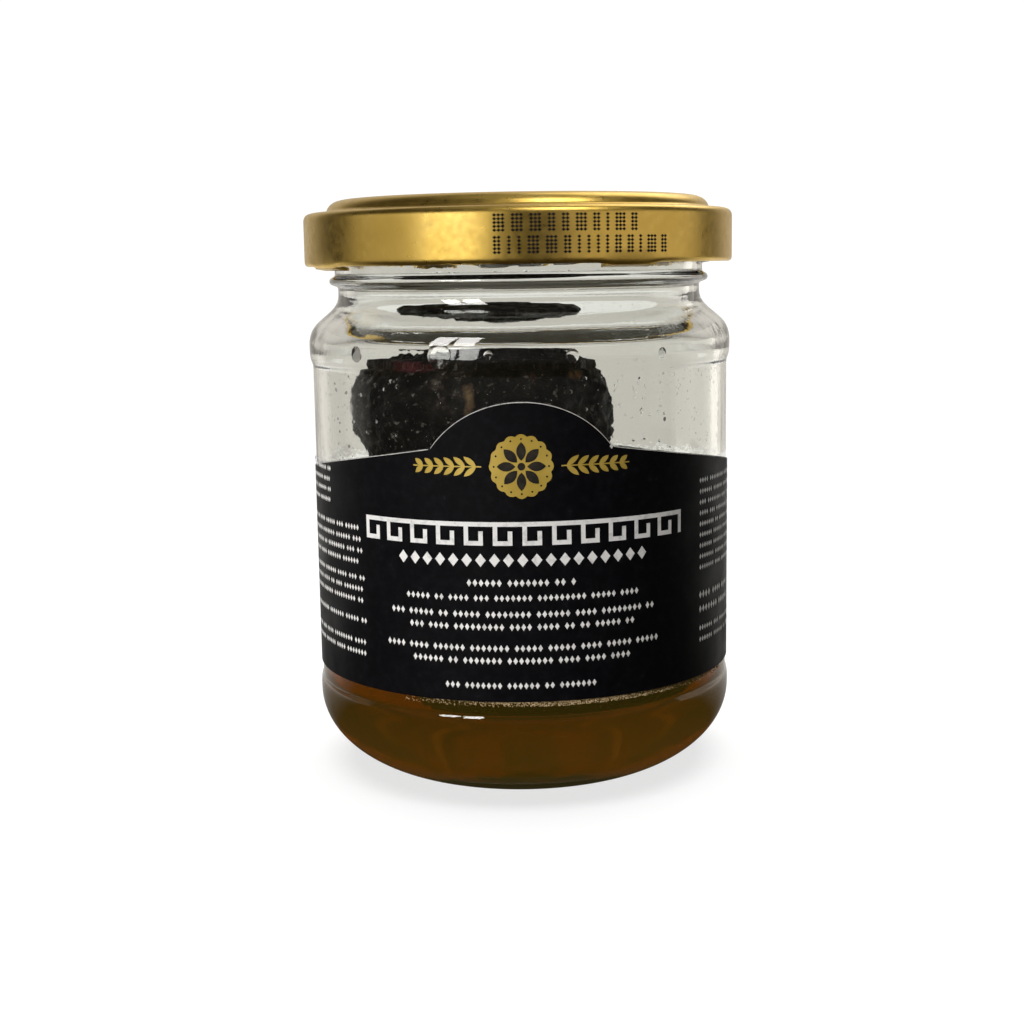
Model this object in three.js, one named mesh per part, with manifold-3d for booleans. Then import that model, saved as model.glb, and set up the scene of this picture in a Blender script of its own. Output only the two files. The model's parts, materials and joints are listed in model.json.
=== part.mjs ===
// A preserving jar of whole summer truffle, in millimetres, +Z up.
// Z = 0 is the foot ring that the jar stands on, and the Z axis is the jar's own axis.
// The front of the label faces -Y. Angles round the jar are measured from the front towards +X, in degrees.
//
// The glass jar has a rounded heel, a recessed label panel, a soft shoulder, a transfer bead and a four-start
// lug finish.
// A tinplate twist-off lid turns on that finish, with a moulded seal in its channel.
// Two whole truffles lie in the jar, one on the other, with truffle juice round the lower one.
import * as THREE from "three";
import { mergeVertices } from "three/addons/utils/BufferGeometryUtils.js";
import Module from "manifold-3d";

const wasm = await Module();
wasm.setup();

// ---- driving dimensions ----
const ROUND_STEPS = 48; // facets in a full turn of every round piece

// glass
const PANEL_R = 35.65; // the label panel
const PANEL_LOW = 17.7;
const PANEL_HIGH = 69.4;
const HEEL_R = 36.05;
const HEEL_TOP_Z = 12.9; // where the round heel has become upright
const SHOULDER_R = 36.15;
const FOOT_R = 24.8; // outer edge of the flat foot ring
const FOOT_WIDTH = 2.0;
const PUSH_UP = 2.4; // hollow under the base
const NECK_R = 31.0;
const NECK_LOW_Z = 81.2; // where the shoulder has become the neck
const BEAD_R = 32.45;
const BEAD_Z = 83.3;
const FINISH_R = 31.5; // wall that carries the threads
const MOUTH_R = 28.5;
const RIM_Z = 95.9;
const INNER_R = 33.4;
const INNER_SHOULDER_LOW = 72.5; // inside, the shoulder turns in from here
const INNER_SHOULDER_HIGH = 81.3; // and is upright again here
const INNER_HEEL_Z = 14.5; // inside, the wall turns in to the floor from here
const FLOOR_R = 22;
const FLOOR_Z = 4.0; // inside, where the heel meets the floor
const FLOOR_CROWN = 0.6; // the floor rises this much at its middle

// threads and lugs
const STARTS = 4;
const LEAD = 6.8; // rise per turn
const THREAD_FROM = -10;
const THREAD_TO = 64;
const THREAD_CREST_R = 33.7;
const THREAD_UNDER_Z = 85.5; // underside at its low end
const THREAD_ROOT_H = 1.6;
const THREAD_CREST_H = 0.8;
const LUG_AT = 29;
const LUG_SPAN = 14;
const LUG_TIP_R = 32.7;
const LUG_SLOPE = 0.35; // the lug is this much higher where it leaves the curl
const LUG_LOW = 85.15;
const LUG_HIGH = 85.75;

// lid
const TIN = 0.25;
const LID_R = 36.5;
const LID_LOW = 85.85;
const LEDGE_Z = 94.75;
const CROWN_Z = 96.85;
const CROWN_R = 32.4; // outside of the raised channel
const LID_CORNER_Z = 93.5; // where the skirt turns in to the ledge
const LID_PANEL_R = 26;
const LID_PANEL_Z = 95.8;
const BUTTON_R = 11; // safety button in the middle of the panel
const BUTTON_DEPTH = 0.4;
const BUTTON_STEP = 2; // width of the slope round the button
const SEAL_LOW = 96.0;
const SEAL_HEIGHT = 0.35;
const SEAL_R = 31.0;
const SEAL_INNER_R = 28.8;

// label
const PAPER = 0.12;
const PAPER_GAP = 0.12; // from the panel's facets to the paper
const LABEL_LOW = 18.0;
const LABEL_HALF_LENGTH = 104; // round the jar, from the front
const ARCH_TOP = 65.1;
const ARCH_R = 18.1;
const ARCH_HALF = 14.6;
const SHOULDER_START = 57.8; // height of the top edge beside the arch
const SHOULDER_SLOPE = 0.152;
const SHOULDER_FLAT = 62; // distance from the front past which the top edge runs level

// contents
const JUICE_LEVEL = 34;
const CLEARANCE = 0.3; // between the juice and what it touches

// ---- helpers ----
const radians = THREE.MathUtils.degToRad;

// Turns an outline of (radius, height) round the Z axis.
function turned(outline) {
  return new THREE.LatheGeometry(outline, ROUND_STEPS).rotateX(Math.PI / 2);
}

// A three.js geometry as a manifold-3d solid.
function solid(geometry) {
  const bare = geometry.clone();
  bare.deleteAttribute("normal");
  bare.deleteAttribute("uv");
  const merged = mergeVertices(bare, 1e-4);
  return new wasm.Manifold(
    new wasm.Mesh({
      numProp: 3,
      vertProperties: merged.attributes.position.array,
      triVerts: new Uint32Array(merged.index.array),
    }),
  );
}

// A manifold-3d solid as a three.js geometry.
function geometryOf(made) {
  const mesh = made.getMesh();
  const geometry = new THREE.BufferGeometry();
  geometry.setAttribute("position", new THREE.BufferAttribute(mesh.vertProperties, 3));
  geometry.setIndex(new THREE.BufferAttribute(mesh.triVerts, 1));
  geometry.computeVertexNormals();
  return geometry;
}

// A box bent round the Z axis. place gives [angle in degrees, radius, height] for a point of the unit box:
// along runs round the jar, out away from the axis and up along it, each from 0 to 1.
function bentBox(steps, place) {
  const box = new THREE.BoxGeometry(1, 1, 1, steps, 1, 1);
  const points = box.attributes.position;
  for (let i = 0; i < points.count; i++) {
    const along = points.getX(i) + 0.5;
    const out = 0.5 - points.getY(i);
    const up = points.getZ(i) + 0.5;
    const [angle, radius, height] = place(along, out, up);
    const turn = radians(angle);
    points.setXYZ(i, radius * Math.sin(turn), -radius * Math.cos(turn), height);
  }
  return box;
}

function named(name, geometry, material) {
  const mesh = new THREE.Mesh(geometry, material);
  mesh.name = name;
  return mesh;
}

// ---- glass jar ----
function jarOutline() {
  const path = new THREE.Path();
  path.moveTo(0, PUSH_UP);
  path.quadraticCurveTo(14, PUSH_UP, FOOT_R - FOOT_WIDTH - 0.9, 0.35);
  path.lineTo(FOOT_R - FOOT_WIDTH, 0);
  path.lineTo(FOOT_R, 0);
  path.bezierCurveTo(29.0, 1.6, 35.9, 6.6, HEEL_R, HEEL_TOP_Z);
  path.lineTo(HEEL_R, PANEL_LOW - 3.4);
  path.lineTo(PANEL_R, PANEL_LOW - 1.6);
  path.lineTo(PANEL_R, PANEL_HIGH);
  path.lineTo(SHOULDER_R, PANEL_HIGH + 1.8);
  path.bezierCurveTo(36.35, 73.5, 36.0, 75.4, 34.2, 76.8);
  path.bezierCurveTo(32.4, 78.2, NECK_R, NECK_LOW_Z - 2.2, NECK_R, NECK_LOW_Z);
  path.lineTo(NECK_R, BEAD_Z - 1.0);
  path.lineTo(BEAD_R - 0.25, BEAD_Z - 0.6);
  path.lineTo(BEAD_R, BEAD_Z);
  path.lineTo(BEAD_R - 0.25, BEAD_Z + 0.6);
  path.lineTo(FINISH_R, BEAD_Z + 1.0);
  path.lineTo(FINISH_R, RIM_Z - 0.7);
  path.quadraticCurveTo(FINISH_R, RIM_Z, FINISH_R - 0.8, RIM_Z);
  path.lineTo(MOUTH_R + 0.8, RIM_Z);
  path.quadraticCurveTo(MOUTH_R, RIM_Z, MOUTH_R, RIM_Z - 0.8);
  path.lineTo(MOUTH_R, INNER_SHOULDER_HIGH);
  path.bezierCurveTo(MOUTH_R, INNER_SHOULDER_HIGH - 2.0, MOUTH_R, 77.9, 29.7, 76.7);
  path.bezierCurveTo(31.2, 75.2, INNER_R, INNER_SHOULDER_LOW + 1.4, INNER_R, INNER_SHOULDER_LOW);
  path.lineTo(INNER_R, INNER_HEEL_Z);
  path.bezierCurveTo(INNER_R, 8.0, 28.5, FLOOR_Z + 0.2, FLOOR_R, FLOOR_Z);
  path.lineTo(0, FLOOR_Z + FLOOR_CROWN);
  return path.getPoints(3);
}

// One thread: it climbs towards +X at the front, and runs out at both ends.
function thread(turn) {
  const span = THREAD_TO - THREAD_FROM;
  return bentBox(12, (along, out, up) => {
    const runOut = Math.min(1, 0.35 + 5 * along, 0.35 + 5 * (1 - along));
    const radius = out ? FINISH_R + (THREAD_CREST_R - FINISH_R) * runOut : FINISH_R - 0.3;
    const depth = out ? THREAD_CREST_H : THREAD_ROOT_H;
    const under = THREAD_UNDER_Z + (LEAD * span * along) / 360;
    return [turn + THREAD_FROM + span * along, radius, under + depth * up];
  });
}

function glassJar() {
  let glass = solid(turned(jarOutline()));
  for (let i = 0; i < STARTS; i++) glass = glass.add(solid(thread((360 / STARTS) * i)));
  return geometryOf(glass);
}

// ---- lid ----
function lidOutline() {
  const path = new THREE.Path();
  // outside, from the middle of the button to the curl
  path.moveTo(0, LID_PANEL_Z - BUTTON_DEPTH);
  path.lineTo(BUTTON_R, LID_PANEL_Z - BUTTON_DEPTH);
  path.lineTo(BUTTON_R + BUTTON_STEP, LID_PANEL_Z);
  path.lineTo(LID_PANEL_R, LID_PANEL_Z);
  path.bezierCurveTo(27.6, LID_PANEL_Z, 27.8, CROWN_Z, 29.6, CROWN_Z);
  path.bezierCurveTo(31.0, CROWN_Z, 32.0, 96.35, CROWN_R + 0.05, 95.4);
  path.quadraticCurveTo(CROWN_R + 0.2, LEDGE_Z, 33.4, LEDGE_Z);
  path.lineTo(35.0, LEDGE_Z - 0.05);
  path.quadraticCurveTo(LID_R, LEDGE_Z - 0.1, LID_R, LID_CORNER_Z);
  path.lineTo(LID_R, LID_LOW + 0.9);
  path.quadraticCurveTo(LID_R, LID_LOW, LID_R - 0.75, LID_LOW);
  path.quadraticCurveTo(LID_R - 1.5, LID_LOW, LID_R - 1.5, LID_LOW + 0.8);
  path.lineTo(LID_R - 1.1, LID_LOW + 1.35);
  path.lineTo(LID_R - TIN, LID_LOW + 1.5);
  // inside, back up to the middle
  path.lineTo(LID_R - TIN, LID_CORNER_Z);
  path.quadraticCurveTo(LID_R - TIN, LEDGE_Z - TIN - 0.1, 35.0, LEDGE_Z - TIN - 0.05);
  path.lineTo(33.0, LEDGE_Z - TIN);
  path.quadraticCurveTo(CROWN_R - 0.15, LEDGE_Z - 0.1, CROWN_R - 0.25, 95.3);
  path.bezierCurveTo(31.8, 96.15, 30.9, CROWN_Z - TIN, 29.6, CROWN_Z - TIN);
  path.bezierCurveTo(28.2, CROWN_Z - TIN, 27.9, LID_PANEL_Z - TIN, LID_PANEL_R, LID_PANEL_Z - TIN);
  path.lineTo(BUTTON_R + BUTTON_STEP + 0.1, LID_PANEL_Z - TIN);
  path.lineTo(BUTTON_R + 0.1, LID_PANEL_Z - BUTTON_DEPTH - TIN);
  path.lineTo(0, LID_PANEL_Z - BUTTON_DEPTH - TIN);
  return path.getPoints(2).reverse();
}

// One lug: the curl pressed inwards and down, under the thread.
function lug(centre) {
  return bentBox(6, (along, out, up) => [
    centre + LUG_SPAN * (along - 0.5),
    out ? LID_R - 0.6 : LUG_TIP_R,
    (up ? LUG_HIGH : LUG_LOW) + (out ? LUG_SLOPE : 0),
  ]);
}

function lidShell() {
  let tin = solid(turned(lidOutline()));
  for (let i = 0; i < STARTS; i++) tin = tin.add(solid(lug(LUG_AT + (360 / STARTS) * i)));
  return geometryOf(tin);
}

// The moulded seal fills the lid's channel and meets the rim of the glass.
function lidSeal() {
  return turned([
    new THREE.Vector2(SEAL_INNER_R, SEAL_LOW),
    new THREE.Vector2(SEAL_R, SEAL_LOW),
    new THREE.Vector2(SEAL_R - 0.1, SEAL_LOW + 0.15),
    new THREE.Vector2(SEAL_R - 0.7, SEAL_LOW + SEAL_HEIGHT - 0.02),
    new THREE.Vector2(SEAL_INNER_R + 0.6, SEAL_LOW + SEAL_HEIGHT),
    new THREE.Vector2(SEAL_INNER_R, SEAL_LOW),
  ]);
}

// ---- label ----
// Height of the label's top edge at a distance round the jar from the front.
function labelTop(distance) {
  const away = Math.abs(distance);
  if (away < ARCH_HALF) return ARCH_TOP - ARCH_R + Math.sqrt(ARCH_R ** 2 - away ** 2);
  return SHOULDER_START - SHOULDER_SLOPE * (Math.min(away, SHOULDER_FLAT) - ARCH_HALF);
}

function label() {
  const inner = PANEL_R + PAPER_GAP;
  return bentBox(104, (along, out, up) => {
    const distance = LABEL_HALF_LENGTH * (2 * along - 1);
    const angle = THREE.MathUtils.radToDeg(distance / PANEL_R);
    return [angle, inner + PAPER * out, up ? labelTop(distance) : LABEL_LOW];
  });
}

// ---- truffles ----
// Each truffle is an ellipsoid with lobes: [direction, height in mm, sharpness]. A lobe of negative height is
// a hollow. The lower and upper ends are flattened at the two heights given.
const TRUFFLES = {
  truffle_upper: {
    centre: [-6.2, -1.0, 58.0],
    semiAxes: [22.4, 21.4, 21.5],
    ends: [40.4, 74.8],
    lobes: [
      [[-0.95, -0.1, 0.25], 2.4, 5],
      [[0.45, -0.5, 0.7], 2.0, 6],
      [[-0.9, -0.3, -0.45], -3.0, 7],
      [[0.1, 0.95, -0.1], 2.2, 5],
      [[0.2, -0.9, -0.4], -1.8, 6],
      [[-0.3, 0.5, 0.8], -1.4, 7],
    ],
  },
  truffle_lower: {
    centre: [3.5, 1.5, 22.4],
    semiAxes: [24.5, 23.5, 17.5],
    ends: [5.4, 38.9],
    lobes: [
      [[0.9, -0.3, 0.2], 2.0, 5],
      [[-0.6, -0.7, 0.1], 2.2, 6],
      [[-0.8, 0.5, 0.1], -2.6, 6],
      [[0.1, 0.9, 0.3], 2.0, 6],
      [[-0.5, 0.0, 0.9], -1.6, 5],
      [[0.5, 0.8, -0.2], -1.8, 8],
    ],
  },
};

// A height, eased to stay between low and high.
function flattened(height, low, high) {
  const soft = 1.3;
  const under = high - soft * Math.log1p(Math.exp((high - height) / soft));
  return low + soft * Math.log1p(Math.exp((under - low) / soft));
}

// A truffle, grown everywhere by margin.
function truffle({ centre, semiAxes, ends: [low, high], lobes }, margin = 0) {
  const ball = new THREE.IcosahedronGeometry(1, 6);
  const points = ball.attributes.position;
  const axes = new THREE.Vector3(...semiAxes);
  const point = new THREE.Vector3();
  for (let i = 0; i < points.count; i++) {
    const way = point.fromBufferAttribute(points, i).normalize().clone();
    const reach = lobes.reduce((sum, [direction, height, sharpness]) => {
      const near = way.dot(new THREE.Vector3(...direction).normalize()) - 1;
      return sum + height * Math.exp(sharpness * near);
    }, margin);
    point.copy(way).multiply(axes).addScaledVector(way, reach);
    const height = flattened(point.z + centre[2], low - margin, high + margin);
    points.setXYZ(i, point.x + centre[0], point.y + centre[1], height);
  }
  return ball;
}

// ---- juice ----
function juice() {
  const path = new THREE.Path();
  const wall = INNER_R - CLEARANCE;
  path.moveTo(0, FLOOR_Z + FLOOR_CROWN + CLEARANCE);
  path.lineTo(FLOOR_R, FLOOR_Z + CLEARANCE);
  path.bezierCurveTo(28.4, FLOOR_Z + CLEARANCE + 0.3, wall, 8.4, wall, INNER_HEEL_Z);
  path.lineTo(wall, JUICE_LEVEL);
  path.lineTo(0, JUICE_LEVEL);
  const pool = solid(turned(path.getPoints(4)));
  const left = Object.values(TRUFFLES).reduce(
    (rest, shape) => rest.subtract(solid(truffle(shape, CLEARANCE))),
    pool,
  );
  return geometryOf(left);
}

// ---- assembly ----
const GLASS = new THREE.MeshStandardMaterial({
  color: 0xe9ece6,
  roughness: 0.04,
  metalness: 0,
  transparent: true,
  opacity: 0.35,
});
const GOLD_TIN = new THREE.MeshStandardMaterial({ color: 0xb8953f, roughness: 0.3, metalness: 0.9 });
const SEAL = new THREE.MeshStandardMaterial({ color: 0xd8d2c2, roughness: 0.6, metalness: 0 });
const PAPER_BLACK = new THREE.MeshStandardMaterial({ color: 0x17171a, roughness: 0.5, metalness: 0 });
const TRUFFLE_SKIN = new THREE.MeshStandardMaterial({ color: 0x14110f, roughness: 0.7, metalness: 0 });
const JUICE = new THREE.MeshStandardMaterial({ color: 0x5a3a10, roughness: 0.1, metalness: 0 });

const jar = new THREE.Group();
jar.add(named("glass_jar", glassJar(), GLASS));
jar.add(named("label", label(), PAPER_BLACK));
for (const [name, shape] of Object.entries(TRUFFLES)) jar.add(named(name, truffle(shape), TRUFFLE_SKIN));
jar.add(named("truffle_juice", juice(), JUICE));

const closure = new THREE.Group();
closure.add(named("twist_off_lid", lidShell(), GOLD_TIN));
closure.add(named("lid_seal", lidSeal(), SEAL));

const jarOfTruffle = new THREE.Group();
jarOfTruffle.add(jar, closure);

export default jarOfTruffle;
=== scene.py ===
# The finished look of a preserving jar of whole summer truffle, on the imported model's frame.
# Lengths are in millimetres where a comment or a name says so, and MM turns them into metres.
# Angles round the jar are measured from the label's middle towards +X, in degrees.
import json
import math
import random

import bmesh
import bpy
from mathutils import Matrix, Vector, noise

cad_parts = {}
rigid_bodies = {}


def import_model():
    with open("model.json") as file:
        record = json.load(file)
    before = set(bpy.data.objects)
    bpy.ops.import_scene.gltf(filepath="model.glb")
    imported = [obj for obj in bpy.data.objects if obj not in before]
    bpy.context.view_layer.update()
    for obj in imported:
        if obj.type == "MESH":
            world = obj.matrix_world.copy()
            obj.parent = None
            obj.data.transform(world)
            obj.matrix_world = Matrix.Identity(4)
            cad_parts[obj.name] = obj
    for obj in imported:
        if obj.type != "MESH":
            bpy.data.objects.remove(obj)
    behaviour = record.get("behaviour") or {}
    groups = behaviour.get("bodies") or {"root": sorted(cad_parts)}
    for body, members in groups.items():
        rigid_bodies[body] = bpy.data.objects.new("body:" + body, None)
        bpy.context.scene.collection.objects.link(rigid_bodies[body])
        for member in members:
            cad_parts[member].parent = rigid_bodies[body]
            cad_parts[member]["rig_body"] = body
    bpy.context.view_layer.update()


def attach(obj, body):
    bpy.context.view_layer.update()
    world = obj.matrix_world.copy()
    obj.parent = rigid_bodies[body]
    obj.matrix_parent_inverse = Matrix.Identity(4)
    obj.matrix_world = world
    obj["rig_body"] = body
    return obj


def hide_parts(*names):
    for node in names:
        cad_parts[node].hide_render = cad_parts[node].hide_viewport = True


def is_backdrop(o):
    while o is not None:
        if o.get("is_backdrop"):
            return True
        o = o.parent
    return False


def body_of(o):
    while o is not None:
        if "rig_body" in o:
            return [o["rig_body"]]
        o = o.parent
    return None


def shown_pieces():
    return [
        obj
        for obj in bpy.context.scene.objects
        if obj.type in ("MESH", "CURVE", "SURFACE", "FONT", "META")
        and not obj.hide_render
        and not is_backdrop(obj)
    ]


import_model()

MM = 0.001

# ---- sizes shared by several pieces, in mm ----
PANEL_R = 35.65
PANEL_LOW = 17.7
PANEL_HIGH = 69.4
HEEL_R = 36.05
SHOULDER_R = 36.15
FOOT_R = 24.8
FOOT_WIDTH = 2.0
PUSH_UP = 2.4
NECK_R = 31.0
BEAD_R = 32.45
BEAD_Z = 83.3
FINISH_R = 31.5
MOUTH_R = 28.5
RIM_Z = 95.9
INNER_R = 33.4
SHOULDER_INNER_R = 33.85
SHOULDER_TOP_INNER_R = 33.45
FLOOR_Z = 4.0

STARTS = 4
LEAD = 6.8
THREAD_FROM = -10
THREAD_TO = 64
THREAD_DEPTH = 2.2
THREAD_UNDER_Z = 85.5
LUG_AT = 29
LUG_SPAN = 14

LID_R = 36.5
LID_LOW = 85.85
LEDGE_Z = 94.75
CROWN_Z = 96.85
CROWN_R = 32.4
LID_PANEL_Z = 95.8
LID_CORNER_Z = 93.3
LID_PANEL_R = 26
BUTTON_R = 10.5
BUTTON_EDGE_R = 13.4
BUTTON_STEP = 0.4
TIN = 0.25

SEAL_INNER_R = 28.8
SEAL_R = 31.0
SEAL_LOW = 96.0
SEAL_TOP = 96.35

LABEL_R = 35.78
PAPER = 0.12
LABEL_LOW = 18.0
LABEL_HALF_LENGTH = 104
ARCH_TOP = 65.1
ARCH_R = 18.1
ARCH_HALF = 14.6
SHOULDER_START = 57.8
SHOULDER_SLOPE = 0.152
SHOULDER_FLAT = 62

JUICE_LEVEL = 34


# ---- mesh helpers ----
class Outline:
    """An outline of (radius, height) points, drawn as with a pen."""

    def __init__(self, r, z):
        self.points = [(r, z)]

    def line(self, r, z, steps=1):
        r0, z0 = self.points[-1]
        for i in range(1, steps + 1):
            t = i / steps
            self.points.append((r0 + (r - r0) * t, z0 + (z - z0) * t))
        return self

    def bend(self, r1, z1, r2, z2, steps=6):
        """A curve to (r2, z2) that leaves towards (r1, z1) and arrives from it."""
        return self.curve(r1, z1, r1, z1, r2, z2, steps, quadratic=True)

    def curve(self, r1, z1, r2, z2, r3, z3, steps=12, quadratic=False):
        r0, z0 = self.points[-1]
        for i in range(1, steps + 1):
            t = i / steps
            u = 1 - t
            if quadratic:
                weights = (u * u, 2 * u * t, 0, t * t)
            else:
                weights = (u**3, 3 * u * u * t, 3 * u * t * t, t**3)
            r = sum(w * v for w, v in zip(weights, (r0, r1, r2, r3)))
            z = sum(w * v for w, v in zip(weights, (z0, z1, z2, z3)))
            self.points.append((r, z))
        return self


def at(angle, r, z):
    """The place at that angle round the jar, radius and height in mm, as a vector in metres."""
    turn = math.radians(angle)
    return Vector((r * math.sin(turn), -r * math.cos(turn), z)) * MM


def add_object(name, mesh, material, body, sharp=40):
    mesh.shade_smooth()
    mesh.set_sharp_from_angle(angle=math.radians(sharp))
    piece = bpy.data.objects.new(name, mesh)
    bpy.context.scene.collection.objects.link(piece)
    for one in material if isinstance(material, (list, tuple)) else [material]:
        mesh.materials.append(one)
    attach(piece, body)
    return piece


def turned_mesh(name, outline, steps, closed=False, shape=None):
    """A mesh turned from an outline. shape(r, z, angle) may give each point a new radius and height."""
    points = outline.points
    verts, faces, rings = [], [], []
    for r, z in points:
        if r < 1e-6:
            rings.append([len(verts)] * steps)
            verts.append(at(0, 0, z))
            continue
        ring = []
        for i in range(steps):
            angle = 360 * i / steps
            pr, pz = shape(r, z, angle) if shape else (r, z)
            ring.append(len(verts))
            verts.append(at(angle, pr, pz))
        rings.append(ring)
    pairs = list(zip(rings, rings[1:] + rings[:1] if closed else rings[1:]))
    for low, high in pairs:
        for i in range(steps):
            j = (i + 1) % steps
            corners = list(dict.fromkeys((low[i], low[j], high[j], high[i])))
            if len(corners) > 2:
                faces.append(corners)
    mesh = bpy.data.meshes.new(name)
    mesh.from_pydata(verts, [], faces)
    return mesh


def smooth_step(x):
    x = min(1, max(0, x))
    return x * x * (3 - 2 * x)


# ---- node helpers ----
def new_material(name):
    material = bpy.data.materials.new(name)
    material.use_nodes = True
    nodes = material.node_tree.nodes
    return material, nodes, material.node_tree.links, nodes["Principled BSDF"]


def add_noise(nodes, links, scale, detail=3, stretch=(1, 1, 1), roughness=0.5):
    """Noise in the object's own space, scale in features per metre."""
    coords = nodes.new("ShaderNodeTexCoord")
    mapping = nodes.new("ShaderNodeMapping")
    mapping.inputs["Scale"].default_value = stretch
    texture = nodes.new("ShaderNodeTexNoise")
    texture.inputs["Scale"].default_value = scale
    texture.inputs["Detail"].default_value = detail
    texture.inputs["Roughness"].default_value = roughness
    links.new(coords.outputs["Object"], mapping.inputs["Vector"])
    links.new(mapping.outputs["Vector"], texture.inputs["Vector"])
    return texture.outputs["Fac"]


def add_ramp(nodes, links, source, stops):
    """A colour ramp over source. stops is a list of (position, (r, g, b))."""
    ramp = nodes.new("ShaderNodeValToRGB")
    elements = ramp.color_ramp.elements
    while len(elements) < len(stops):
        elements.new(0.5)
    for element, (position, colour) in zip(elements, stops):
        element.position = position
        element.color = (*colour, 1)
    links.new(source, ramp.inputs["Fac"])
    return ramp.outputs["Color"]


def add_range(nodes, links, source, low, high, from_low=0.3, from_high=0.7):
    """source, stretched from one range of values to another."""
    spread = nodes.new("ShaderNodeMapRange")
    spread.inputs["From Min"].default_value = from_low
    spread.inputs["From Max"].default_value = from_high
    spread.inputs["To Min"].default_value = low
    spread.inputs["To Max"].default_value = high
    links.new(source, spread.inputs["Value"])
    return spread.outputs["Result"]


def add_bump(nodes, links, source, distance_mm, strength, principled, after=None):
    bump = nodes.new("ShaderNodeBump")
    bump.inputs["Distance"].default_value = distance_mm * MM
    bump.inputs["Strength"].default_value = strength
    links.new(source, bump.inputs["Height"])
    if after:
        links.new(after, bump.inputs["Normal"])
    links.new(bump.outputs["Normal"], principled.inputs["Normal"])
    return bump.outputs["Normal"]


# ---- materials ----
def tinted_material(name, scale, stops, roughness, detail=3):
    """An even surface whose colour wanders a little between the stops."""
    material, nodes, links, principled = new_material(name)
    tone = add_noise(nodes, links, scale, detail)
    links.new(add_ramp(nodes, links, tone, stops), principled.inputs["Base Color"])
    principled.inputs["Roughness"].default_value = roughness
    return material, principled


def glass_material():
    """Clear container glass with the faint ripple of a moulded wall."""
    material, nodes, links, principled = new_material("clear_glass")
    principled.inputs["Base Color"].default_value = (0.97, 0.985, 0.97, 1)
    principled.inputs["Transmission Weight"].default_value = 1
    principled.inputs["IOR"].default_value = 1.5
    principled.inputs["Roughness"].default_value = 0.0
    ripple = add_noise(nodes, links, 90, detail=2, stretch=(1, 1, 0.35))
    add_bump(nodes, links, ripple, 0.5, 0.2, principled)
    return material


def misted_glass_material():
    """The inside of the jar's wall, clear in places and misted in others."""
    material, nodes, links, principled = new_material("misted_glass")
    principled.inputs["Base Color"].default_value = (0.97, 0.985, 0.97, 1)
    principled.inputs["Transmission Weight"].default_value = 1
    principled.inputs["IOR"].default_value = 1.5
    patches = add_noise(nodes, links, 60, detail=4)
    links.new(add_range(nodes, links, patches, 0.0, 0.10, 0.48, 0.72), principled.inputs["Roughness"])
    beads = add_noise(nodes, links, 1100, detail=2)
    first = add_bump(nodes, links, beads, 0.15, 0.06, principled)
    ripple = add_noise(nodes, links, 70, detail=2, stretch=(1, 1, 0.4))
    add_bump(nodes, links, ripple, 0.8, 0.2, principled, after=first)
    return material


def water_material():
    material, nodes, links, principled = new_material("water")
    principled.inputs["Base Color"].default_value = (0.98, 0.98, 0.98, 1)
    principled.inputs["Transmission Weight"].default_value = 1
    principled.inputs["IOR"].default_value = 1.33
    shimmer = add_noise(nodes, links, 400)
    links.new(add_range(nodes, links, shimmer, 0.0, 0.03), principled.inputs["Roughness"])
    return material


def juice_material():
    """Amber-brown juice, darker the more of it one looks through, with a painted glow inside it and painted
    light and shade by height.
    """
    material, nodes, links, principled = new_material("juice")
    coords = nodes.new("ShaderNodeTexCoord")
    axes = nodes.new("ShaderNodeSeparateXYZ")
    links.new(coords.outputs["Object"], axes.inputs["Vector"])
    # painted light and shade: the juice's colour is lighter towards the bottom and darker towards the top
    height = add_range(nodes, links, axes.outputs["Z"], 0, 1, 0.006, 0.017)
    painted_height_light = add_ramp(nodes, links, height, [(0, (1.0, 1.0, 0.9)), (1, (0.74, 0.60, 0.5))])
    links.new(painted_height_light, principled.inputs["Base Color"])
    principled.inputs["Transmission Weight"].default_value = 1
    principled.inputs["IOR"].default_value = 1.34
    cloud = add_noise(nodes, links, 120, detail=4)
    links.new(add_range(nodes, links, cloud, 0.0, 0.12), principled.inputs["Roughness"])
    absorb = nodes.new("ShaderNodeVolumeAbsorption")
    absorb.inputs["Color"].default_value = (0.76, 0.54, 0.02, 1)
    absorb.inputs["Density"].default_value = 180
    # painted light: the juice glows from inside, an emission that stands in for light scattered in it
    painted_glow = nodes.new("ShaderNodeEmission")
    painted_glow.inputs["Color"].default_value = (1.0, 0.96, 0.12, 1)
    painted_glow.inputs["Strength"].default_value = 2.3
    both = nodes.new("ShaderNodeAddShader")
    links.new(absorb.outputs["Volume"], both.inputs[0])
    links.new(painted_glow.outputs["Emission"], both.inputs[1])
    links.new(both.outputs["Shader"], nodes["Material Output"].inputs["Volume"])
    return material


# centre and half-sizes in mm, and colour, of the rubbed and torn places in the skin, and of one grey patch of
# painted haze
TRUFFLE_SCARS_AND_PAINTED_HAZE = (
    ((-8.3, -21.5, 64.6), (1.0, 4.0, 3.4), (0.20, 0.13, 0.06)),
    ((9.6, -17.0, 67.8), (2.6, 4.0, 1.3), (0.30, 0.15, 0.045)),
    ((-17.5, -15.0, 69.6), (5.5, 5.0, 1.0), (0.085, 0.012, 0.018)),
    ((2.0, -21.5, 68.0), (1.1, 4.0, 1.1), (0.12, 0.03, 0.02)),
    # painted light: this grey patch is painted haze, standing in for light scattered by the misted glass in
    # front of the truffle
    ((15.0, -12.0, 59.0), (4.5, 9.0, 8.5), (0.045, 0.044, 0.040)),
)


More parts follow.
